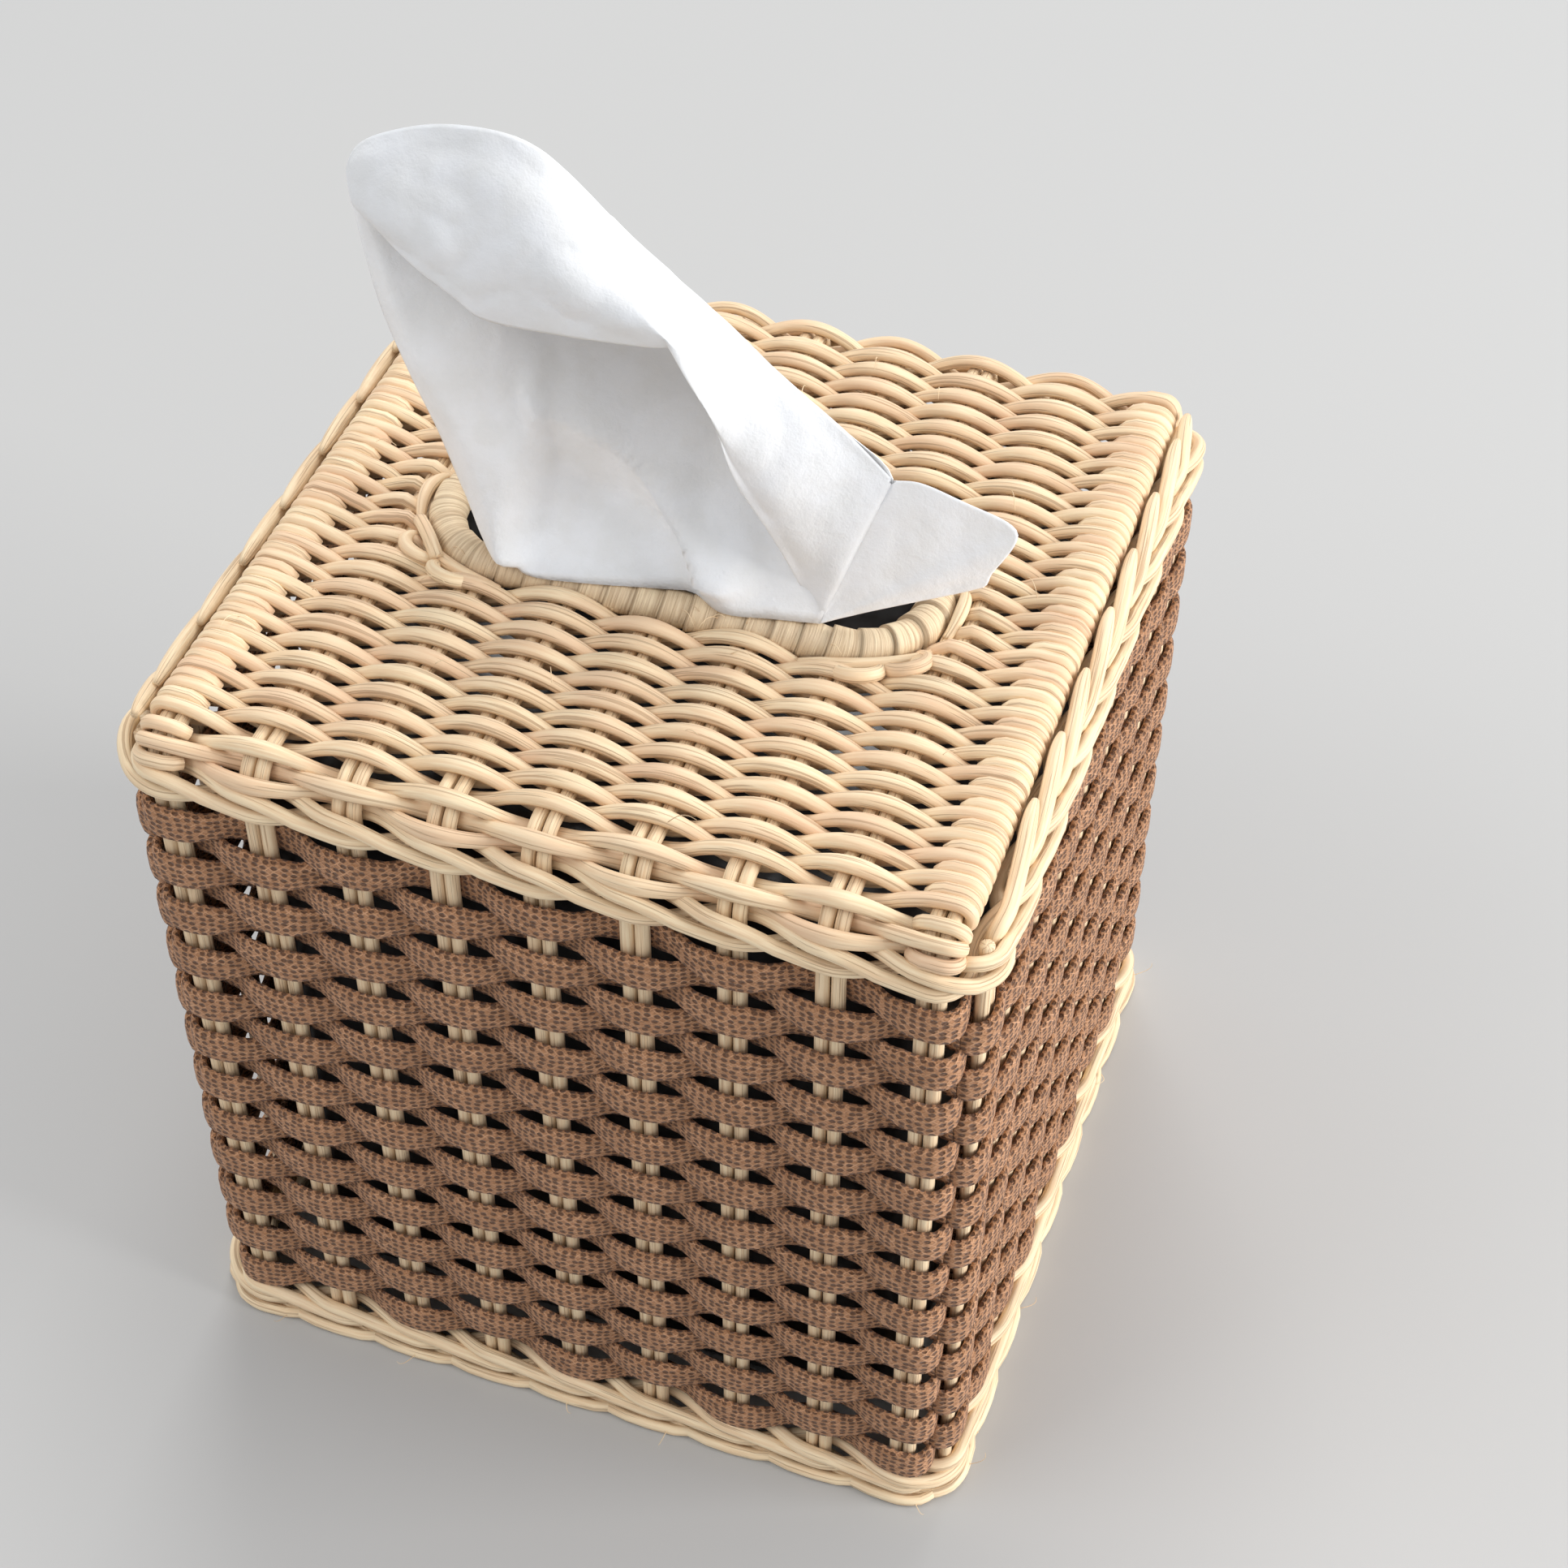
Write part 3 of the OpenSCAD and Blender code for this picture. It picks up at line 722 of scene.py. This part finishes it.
class COVER_OT_foot_border(bpy.types.Operator):
    """Turn the stake ends down into the flat border that the cover stands on"""

    bl_idname = "cover.foot_border"
    bl_label = "Foot Border"

    def execute(self, context):
        material = rattan_finish("border_cane", context.scene.cover_colours, 1.7, 0.05)
        bundle = Bundle()
        radius = cover.foot / 2 * 0.98
        steps = np.array([-0.05, 0.15, 0.4, 0.7, 1.0, 1.3, 1.6, 1.85, 2.05])
        offs = np.array([0, 0.25, 0.7, 0.98, 1.05, 0.98, 0.55, 0.0, -0.6])
        offs *= cover.wale_reach - radius + 0.5 * MM
        fine = np.linspace(steps[0], steps[-1], 26)
        for i in range(ROUND):
            for inner in (0, 1):
                off = np.interp(fine, steps, offs) - inner * 1.9 * radius
                path, outward = round_path(i + fine, off, np.full(26, radius))
                bundle.strand(path, outward, round_section(np.full(26, radius), 8))
        bundle.make("foot_border_canes", material, "rattan", "foot_border")
        return {"FINISHED"}


def ring_line(length, off):
    """The slot ring's middle line at a length round it from its front: place, outward side and total"""
    straight, bend = 2 * cover.ring_half, cover.ring_bend
    total = 2 * straight + 2 * math.pi * bend
    s = (np.asarray(length, float) + straight / 2) % total
    half = s % (total / 2)
    angle = np.maximum(half - straight, 0) / bend
    x = np.where(half < straight, half - straight / 2, straight / 2 + (bend + off) * np.sin(angle))
    y = np.where(half < straight, -bend - off, -(bend + off) * np.cos(angle))
    sign = np.where(s >= total / 2, -1, 1)
    out = np.stack([np.sin(angle) * sign, -np.cos(angle) * sign, 0 * s], axis=-1)
    return np.stack([x * sign, y * sign, 0 * s], axis=-1), out, total


class COVER_OT_slot_ring(bpy.types.Operator):
    """Lap the ring round the slot with flat peel and bind its ends with cane"""

    bl_idname = "cover.slot_ring"
    bl_label = "Slot Ring"

    def execute(self, context):
        sizes, random = settings(context, 4)
        colours = context.scene.cover_colours
        total = ring_line([0], 0)[2]
        laps = round(total / sizes.lap_width)
        steps = np.array([0.0, 0.03, 0.12, 0.35, 0.62, 0.88, 0.985])
        place = (np.arange(laps)[:, None] + steps).ravel() * total / laps
        part = np.tile(steps, laps)
        bulge = random.uniform(-0.16, 0.1, laps).repeat(len(steps)) * MM
        middle, outward, _ = ring_line(place, 0)
        middle[:, 2] = cover.ring_z
        radii = cover.ring - sizes.lap_step * (0.15 + 0.85 * part) + bulge + 0.1 * MM * np.sin(part * np.pi)
        sides = 26
        angle = np.arange(sides) * 2 * np.pi / sides
        skew = 0.9 * MM * np.sin(angle + 0.4)
        bundle = Bundle()
        bundle.strand(middle, (0, 0, 1), round_section(radii, sides), closed=True,
                      tone=np.arange(laps).repeat(len(steps)) * 0.73)
        points = bundle.points[0].reshape(len(place), sides, 3)
        ahead = unit(np.roll(middle, -1, axis=0) - np.roll(middle, 1, axis=0))
        points += ahead[:, None] * skew[None, :, None]
        bundle.points[0] = points.reshape(-1, 3)
        bundle.make("slot_ring_lapping", peel_finish(colours, total / laps / MM), "peel", "slot_ring")
        hug = Bundle()
        reach = cover.ring + sizes.lid_cane * 0.42
        end_bend = math.pi * cover.ring_bend
        for side in (0, 1):
            start = cover.ring_half + side * total / 2
            for low, high, lift in ((-0.10, 0.34, 0.4), (0.40, 0.62, 1.0), (0.66, 1.06, 0.4)):
                length = start + np.linspace(low, high, 30) * end_bend
                path, outward, _ = ring_line(length, reach)
                arch = np.sin(np.linspace(0, np.pi, 30))
                path[:, 2] = cover.lid_z + (lift + 1.6 * arch) * MM
                hug.strand(path, (0, 0, 1), round_section(sizes.lid_cane * (0.30 + 0.18 * arch)))
            for t, wide in ((0.10, 2.6), (0.24, 2.4), (0.76, 2.4), (0.90, 2.6)):
                turn = np.linspace(-0.55, 0.55, 18) * 2 * math.pi
                arc = start + t * end_bend + wide * MM * np.sin(turn * 0.5)
                path, outward, _ = ring_line(arc, 0)
                path += outward * (cover.ring + (1.2 + 3.6 * np.cos(turn * 0.5)) * MM)[:, None]
                path[:, 2] = cover.lid_z + (0.8 + 2.4 * np.cos(turn * 0.5)) * MM
                hug.strand(path, (0, 0, 1), round_section(np.full(18, sizes.lid_cane * 0.5)))
            near, _, _ = ring_line([start + 0.66 * end_bend], cover.ring + 1.0 * MM)
            far, _, _ = ring_line([start + 0.84 * end_bend], cover.ring + 2.0 * MM)
            f = np.linspace(0, 1, 12)[:, None]
            path = near * (1 - f) + far * f
            path[:, 2] = cover.lid_z + (2.9 + 0.9 * np.sin(f[:, 0] * np.pi)) * MM
            hug.strand(path, (0, 0, 1), round_section(np.full(12, sizes.lid_cane * 0.5)))
        hug.make("ring_binding_canes", rattan_finish("binding_cane", colours, 1.5, 0.3), "rattan")
        return {"FINISHED"}


def rounded_outline(half_x, half_y, radius, samples):
    """A rounded rectangle as [samples, 2]"""
    corner = np.linspace(0, np.pi / 2, samples // 4)
    points = [np.stack([sx * (half_x - radius) + radius * np.cos(corner + k * np.pi / 2),
                        sy * (half_y - radius) + radius * np.sin(corner + k * np.pi / 2)], axis=-1)
              for k, (sx, sy) in enumerate(((1, 1), (-1, 1), (-1, -1), (1, -1)))]
    return np.concatenate(points)


class COVER_OT_pack(bpy.types.Operator):
    """Wrap the pack of tissues inside in its film, with pinched ends and soft edges"""

    bl_idname = "cover.pack"
    bl_label = "Tissue Pack"

    def execute(self, context):
        half_x, half_y, height = cover.pack_high
        soft = 7 * MM
        levels = [(0.02, 0.0), (0.35, 0.0), (0.7, 0.0), (0.9, 0.0)]
        levels += [(1, soft * (1 - math.cos(a))) for a in np.linspace(0, math.pi / 2, 6)]
        levels += [(1, z) for z in np.linspace(soft, height - soft, 14)[1:-1]]
        levels += [(1, height - soft + soft * math.sin(a)) for a in np.linspace(0, math.pi / 2, 6)]
        levels += [(0.9, height), (0.7, height), (0.35, height), (0.02, height)]
        rings = []
        for share, z in levels:
            edge = min(z, height - z, soft)
            inset = soft - math.sqrt(max(soft ** 2 - (soft - edge) ** 2, 0))
            outline = rounded_outline(half_x - inset, half_y - inset, 9 * MM, 96) * share
            rings.append(np.column_stack([outline, np.full(96, z)]))
        points = np.array(rings)
        for ring in points:
            for p in ring:
                fold = noise.noise(Vector(p) * 38) + 0.5 * noise.noise(Vector(p) * 95)
                p[:2] *= 1 - 0.012 * abs(fold)
        i = np.arange(len(levels) - 1)[:, None]
        j = np.arange(96)[None]
        beside = (j + 1) % 96
        quads = np.stack([i * 96 + j, i * 96 + beside, (i + 1) * 96 + beside, (i + 1) * 96 + j], axis=-1)
        piece("tissue_pack_film", points.reshape(-1, 3), quads.reshape(-1, 4), None,
              film_finish(context.scene.cover_colours), ["tissue_pack"])
        return {"FINISHED"}


# The drawn tissue's edges in millimetres, each from the slot upwards or outwards
LEFT_EDGE = [(-29, -4, 140.9), (-26, -13.4, 153.2), (-34.6, -8, 155.9), (-41.7, -4, 167.6),
             (-46.2, -3, 177.2), (-50.5, -2, 188.3), (-53.1, -1, 199.4), (-54.5, 0, 206.7)]
TOP_EDGE = [(-54.5, 0, 206.7), (-54.8, 0, 212.6), (-51.7, 1, 217.4), (-42.3, 2, 221.4), (-32.9, 2, 223),
            (-25.1, 2, 222.2), (-18.9, 2, 218.3)]
RIGHT_EDGE = [(-18.9, 2, 218.3), (-8.7, 2, 208.6), (3.3, 1, 199.4), (15.3, 0, 190.8), (26.3, -1, 183.5),
              (34.8, -2, 176.6)]
FREE_EDGE = [(-53.3, -2, 207.5), (-42.7, -7, 202.9), (-34.1, -9, 199.1), (-28.9, -9, 196.2),
             (-15.1, -10, 197.3), (-1.9, -10, 198.6), (3.1, -10, 199.6), (5.6, -10, 194.9),
             (8.4, -10, 187.1), (11.5, -10, 176.7), (17.6, -10, 166.9), (22.4, -10, 158.1),
             (26.7, -12.6, 153.3)]
HEM = [(-26, -13.4, 153.2), (-22.1, -15.9, 152), (-12.4, -15.3, 152.6), (0.7, -13, 153.3),
       (5.3, -12.3, 153.3), (11.1, -14.9, 152.8), (19, -14, 153.2), (26.7, -12.6, 153.3)]
NECK_EDGE = [(26.7, -12.6, 153.3), (31, -6, 167.5), (34.8, -2, 176.6)]
WING_EDGE = [(34.8, -2, 176.6), (39.6, -1, 177.1), (47.3, 0, 175.5), (54.2, 0, 173.4), (55.4, -1, 171.2),
             (52.4, -2, 165.4), (50.8, -3, 162), (43.9, -4, 160.8), (37, -7, 157.3)]


def curve(points, samples):
    """A smooth curve through given points in millimetres, evenly sampled, in metres"""
    p = np.asarray(points, float) * MM
    ends = np.concatenate([[2 * p[0] - p[1]], p, [2 * p[-1] - p[-2]]])
    fine = []
    for a, b, c, d in zip(ends, ends[1:], ends[2:], ends[3:]):
        t = np.linspace(0, 1, 24, endpoint=False)[:, None]
        fine.append(0.5 * (2 * b + (c - a) * t + (2 * a - 5 * b + 4 * c - d) * t ** 2
                           + (3 * b - a - 3 * c + d) * t ** 3))
    fine = np.concatenate(fine + [p[-1:]])
    length = np.concatenate([[0], np.cumsum(np.linalg.norm(np.diff(fine, axis=0), axis=1))])
    even = np.linspace(0, length[-1], samples)
    return np.stack([np.interp(even, length, fine[:, k]) for k in range(3)], axis=-1)


def spanned(bottom, top, left, right):
    """A grid spanned between four edges [v, u, 3]"""
    u = np.linspace(0, 1, len(bottom))[None, :, None]
    v = np.linspace(0, 1, len(left))[:, None, None]
    corners = ((1 - u) * (1 - v) * bottom[0] + u * (1 - v) * bottom[-1]
               + (1 - u) * v * top[0] + u * v * top[-1])
    return (1 - v) * bottom[None] + v * top[None] + (1 - u) * left[:, None] + u * right[:, None] - corners


def crumpled(grid, depth, seed):
    """Small folds that fade at the edges"""
    rows, columns = grid.shape[:2]
    u, v = np.linspace(0, 1, columns)[None], np.linspace(0, 1, rows)[:, None]
    fade = smooth(np.minimum(np.minimum(u, 1 - u), np.minimum(v, 1 - v)) * np.ones((rows, columns)), 0, 0.14)
    for row, weights in zip(grid, fade):
        for p, weight in zip(row, weights):
            at = Vector(p) * 62 + Vector((seed, 0, 0))
            p[1] += depth * weight * (noise.noise(at) + 0.8 * (0.35 - abs(noise.noise(at * 1.9))))
    return grid


class COVER_OT_tissue(bpy.types.Operator):
    """Draw a tissue up through the slot, folded over at its top and flared at its right"""

    bl_idname = "cover.tissue"
    bl_label = "Drawn Tissue"

    def execute(self, context):
        shape = context.scene.cover_tissue
        n = shape.cells + 1
        u, v = np.linspace(0, 1, n)[None, :, None], np.linspace(0, 1, n)[:, None, None]
        away = np.array([0, 1, 0])
        back = spanned(curve(HEM, n), curve(TOP_EDGE, n), curve(LEFT_EDGE[1:], n),
                       curve(NECK_EDGE[:-1] + RIGHT_EDGE[::-1], n))
        hollow = 14 * MM * np.sin(np.pi * np.clip((u - 0.12) / 0.88, 0, 1))
        hollow = hollow * np.sin(np.pi * np.clip(v * 1.05, 0, 1)) ** 0.8
        side = u - 0.06 - 0.47 * v
        crease = -6.5 * MM * np.maximum(0, 1 - np.abs(side) / np.where(side < 0, 0.06 + 0.47 * v, 0.07))
        crease = crease * smooth(v, 0.0, 0.12) * (1 - smooth(v, 0.56, 0.8))
        over_crest = v + 1.07 * u - 0.71
        reach = np.where(over_crest > 0, 0.26, 0.045 + 0.6 * np.maximum(0, 0.54 - u))
        belly = -8 * MM * np.maximum(0, 1 - np.abs(over_crest) / reach) * smooth(side, 0.0, 0.06)
        belly = belly * (1 - smooth(u, 0.70, 0.86)) * smooth(v, 0.0, 0.06)
        back = crumpled(back + away * (hollow + crease + belly), shape.crumple, 3.0)
        over = curve(TOP_EDGE + RIGHT_EDGE[1:], 2 * n)
        free = curve(FREE_EDGE, 2 * n)
        v2 = np.linspace(0, 1, 2 * n)[:, None, None]
        flap = free[:, None] * (1 - u) + over[:, None] * u
        flap = flap - away * 5 * MM * np.sin(np.pi * u) * np.sin(np.pi * v2) ** 0.5
        flap = crumpled(flap, shape.crumple, 9.0)
        outer = curve(WING_EDGE, n)
        neck = np.array(NECK_EDGE[0]) * MM
        wing = neck + (outer[None] - neck) * v
        along_neck = curve(NECK_EDGE, n)[:, None]
        wing = wing + (along_neck - wing[:, :1]) * (1 - u) ** 2
        folds = np.sin(u * 17 + 1) * 0.35 * MM * np.sin(np.pi * u) * v
        wing = crumpled(wing + away * (folds - 3 * MM * np.sin(np.pi * u) * v), shape.crumple * 0.5, 15.0)
        hem = curve(HEM, n)
        inside = curve([(-26, 2, 133.5), (-10, 3, 133.5), (8, 1, 133.5), (19, 3, 133.5)], n)
        throat = spanned(inside, hem,
                         curve([(-26, 2, 133.5), (-26.5, -5, 148), (-26.5, -10, 153.6), HEM[0]], n),
                         curve([(19, 3, 133.5), (21, 0, 148), (25, -8, 153.6), HEM[-1]], n))
        throat += away * 3 * MM * np.sin(u * 21) * np.sin(np.pi * v)
        points, quads, count = [], [], 0
        for grid in (throat, back, flap, wing):
            rows, columns = grid.shape[:2]
            i, j = np.arange(rows - 1)[:, None], np.arange(columns - 1)[None]
            first = i * columns + j
            corners = np.stack([first, first + 1, first + columns + 1, first + columns], axis=-1)
            quads.append(corners.reshape(-1, 4) + count)
            points.append(grid.reshape(-1, 3))
            count += rows * columns
        sheet = piece("drawn_tissue_sheet", np.concatenate(points), np.concatenate(quads), None,
                      tissue_finish(context.scene.cover_colours), ["drawn_tissue"])
        weld = sheet.modifiers.new("weld", "WELD")
        weld.merge_threshold = 0.05 * MM
        thick = sheet.modifiers.new("ply", "SOLIDIFY")
        thick.thickness = shape.ply
        thick.offset = 0
        return {"FINISHED"}


class COVER_OT_fibres(bpy.types.Operator):
    """Let fine fibres stand off the canes, the lapping and the foot"""

    bl_idname = "cover.fibres"
    bl_label = "Loose Fibres"

    def execute(self, context):
        sizes, random = settings(context, 5)
        bundle = Bundle()
        for k in range(sizes.fibres):
            if k % 3 == 0:
                place = round_path(np.array([random.uniform(0, ROUND)]), cover.wale_reach, cover.foot * 0.6)
                start, out = place[0][0], unit(place[1])[0]
            elif k % 3 == 1:
                start, out, _ = ring_line([random.uniform(0, 0.2)], cover.ring * 0.6)
                start, out = start[0] + [0, 0, cover.ring_z + cover.ring * 0.6], np.array([0, 0, 1.0])
            else:
                start = np.array([random.uniform(-1, 1) * cover.last_w, random.uniform(-1, 1) * cover.last_d,
                                  cover.lid_z + cover.lid_reach - 0.3 * MM])
                out = np.array([0, 0, 1.0])
                if abs(start[1]) < cover.mouth and abs(start[0]) < cover.ring_half + cover.mouth:
                    start[1] = math.copysign(cover.mouth + 4 * MM, start[1])
            t = np.linspace(0, 1, 9)[:, None]
            lie = unit(random.normal(0, 1, 3) * [1, 1, 0.25])
            reach = random.uniform(2.0, 4.5) * MM
            path = start + lie * reach * t + out * reach * 0.35 * np.sin(np.pi * t * 0.9)
            path[:, 2] = np.maximum(path[:, 2], 0.3 * MM)
            bundle.strand(path, (0.1, 0.2, 1), round_section(np.linspace(0.09, 0.04, 9) * MM, 4))
        bundle.make("loose_fibres", rattan_finish("fibre", context.scene.cover_colours, 1.0, 0.0), "rattan")
        return {"FINISHED"}


class COVER_OT_stage(bpy.types.Operator):
    """Set the pale floor, the soft studio light and the camera"""

    bl_idname = "cover.stage"
    bl_label = "Stage"

    def execute(self, context):
        scene = context.scene
        scene.view_settings.view_transform = "Standard"
        bpy.ops.mesh.primitive_plane_add(size=8, location=(0, 0, -0.05 * MM))
        floor = context.object
        floor.name = "floor"
        paint = Finish("floor", Roughness=0.9, Specular_IOR_Level=0.1)
        paint.surface(Base_Color=scene.cover_colours.floor)
        floor.data.materials.append(paint.material)
        world = bpy.data.worlds.new("studio")
        scene.world = world
        world.use_nodes = True
        world.node_tree.nodes["Background"].inputs["Color"].default_value = (0.93, 0.96, 1, 1)
        world.node_tree.nodes["Background"].inputs["Strength"].default_value = 0.66
        for name, place, size, power in (("window", (1.4, 0.1, 0.5), 0.8, 23),
                                         ("back_fill", (-0.2, 1.0, 1.5), 0.9, 15),
                                         ("left_fill", (-0.9, -0.7, 1.3), 0.9, 7)):
            lamp = bpy.data.lights.new(name, "AREA")
            lamp.energy, lamp.size = power, size
            light = bpy.data.objects.new(name, lamp)
            light.location = place
            light.rotation_euler = (Vector((0, 0, 0.1)) - Vector(place)).to_track_quat("-Z", "Y").to_euler()
            scene.collection.objects.link(light)
        lens = bpy.data.cameras.new("camera")
        lens.sensor_width, lens.lens = 36, 36 * 3617.8 / 1932
        lens.clip_start = 0.01
        camera = bpy.data.objects.new("camera", lens)
        right = Vector((0.94564, 0.32516, 0.00568))
        down = Vector((0.23655, -0.67578, -0.69812))
        forward = right.cross(down)
        axes = Matrix((right, -down, -forward)).transposed()
        camera.matrix_world = Matrix.Translation(Vector((131.3, -339.73, 468.92)) * MM) @ axes.to_4x4()
        scene.collection.objects.link(camera)
        scene.camera = camera
        return {"FINISHED"}


OPERATORS = (COVER_OT_stage, COVER_OT_wall_strips, COVER_OT_stakes, COVER_OT_lid, COVER_OT_twined_canes,
             COVER_OT_foot_border, COVER_OT_slot_ring, COVER_OT_pack, COVER_OT_tissue, COVER_OT_fibres)


class COVER_PT_panel(bpy.types.Panel):
    """The cover's sizes, colours and pieces"""

    bl_label = "Tissue Box Cover"
    bl_idname = "COVER_PT_panel"
    bl_space_type = "VIEW_3D"
    bl_region_type = "UI"
    bl_category = "Cover"

    def draw(self, context):
        for group in (context.scene.cover_cane, context.scene.cover_tissue, context.scene.cover_colours):
            box = self.layout.box()
            for name in group.__annotations__:
                box.prop(group, name)
        for operator in OPERATORS:
            self.layout.operator(operator.bl_idname)


CLASSES = (CoverCane, CoverTissue, CoverColours, *OPERATORS, COVER_PT_panel)


def register():
    for cls in CLASSES:
        bpy.utils.register_class(cls)
    bpy.types.Scene.cover_cane = PointerProperty(type=CoverCane)
    bpy.types.Scene.cover_tissue = PointerProperty(type=CoverTissue)
    bpy.types.Scene.cover_colours = PointerProperty(type=CoverColours)


def unregister():
    del bpy.types.Scene.cover_cane, bpy.types.Scene.cover_tissue, bpy.types.Scene.cover_colours
    for cls in reversed(CLASSES):
        bpy.utils.unregister_class(cls)


def main():
    register()
    for operator in OPERATORS:
        group, name = operator.bl_idname.split(".")
        getattr(getattr(bpy.ops, group), name)()


if __name__ == "__main__":
    main()
